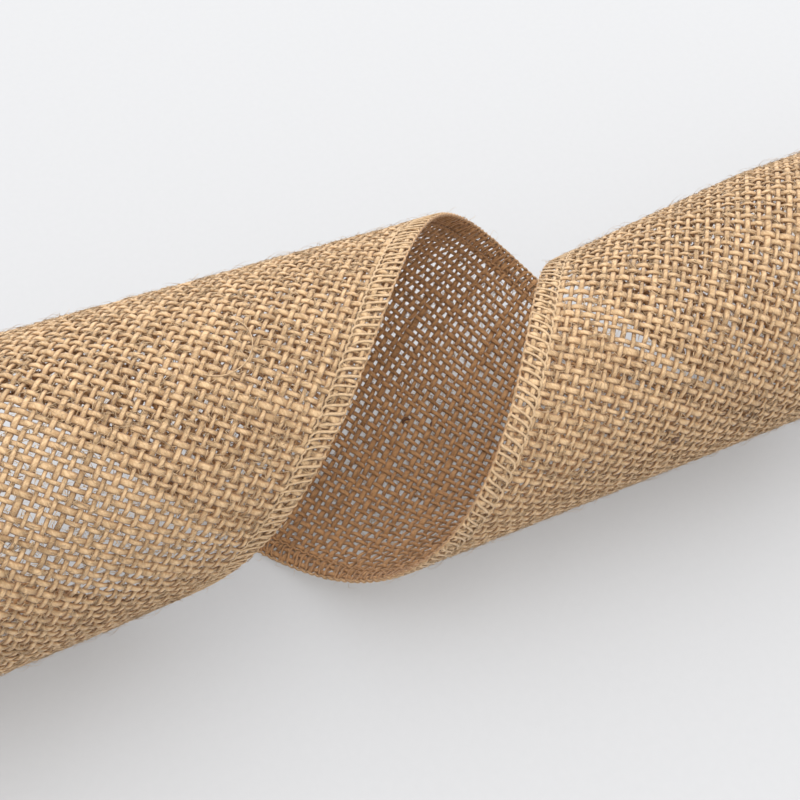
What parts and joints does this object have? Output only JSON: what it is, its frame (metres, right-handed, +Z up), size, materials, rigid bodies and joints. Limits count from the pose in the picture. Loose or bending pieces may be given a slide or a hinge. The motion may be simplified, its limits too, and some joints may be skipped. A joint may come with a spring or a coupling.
{
  "type": "ribbon spool",
  "caption": "Wide hessian gift ribbon wound on a board spool, its free end curled into a loose open tube beside it.",
  "frame": {"origin": "middle of the ribbon's flat stretch between the spool and the curl, on its underside, so z = 0 is the table", "axes": "+X along the curled tube, away from the spool; +Z up; the spool's axis lies in the XY plane at 47 degrees from +X"},
  "size_m": [0.5544, 0.2235, 0.0765],
  "materials": {
    "hessian": "open plain weave of natural jute yarn",
    "overlock": "jute coloured overlock stitching over the cloth's edge",
    "core_board": "spirally wound kraft board, uncoated",
    "flange_board": "flat kraft board, uncoated",
    "paper_tape": "gummed kraft paper"
  },
  "bodies": {
    "ribbon_tail": {"tail_web": "hessian", "tail_edge_inner": "overlock", "tail_edge_outer": "overlock"},
    "spool": {"core_tube": "core_board", "flange_inner": "flange_board", "flange_outer": "flange_board", "start_tape": "paper_tape", "wound_web": "hessian", "wound_edge_inner": "overlock", "wound_edge_outer": "overlock"}
  },
  "joints": [
    {"name": "spool_spin", "type": "hinge", "parent": "ribbon_tail", "child": "spool", "pos_m": [-0.03964, 0.03667, 0.038], "axis": [0.6791, 0.734, 0], "continuous": true}
  ]
}
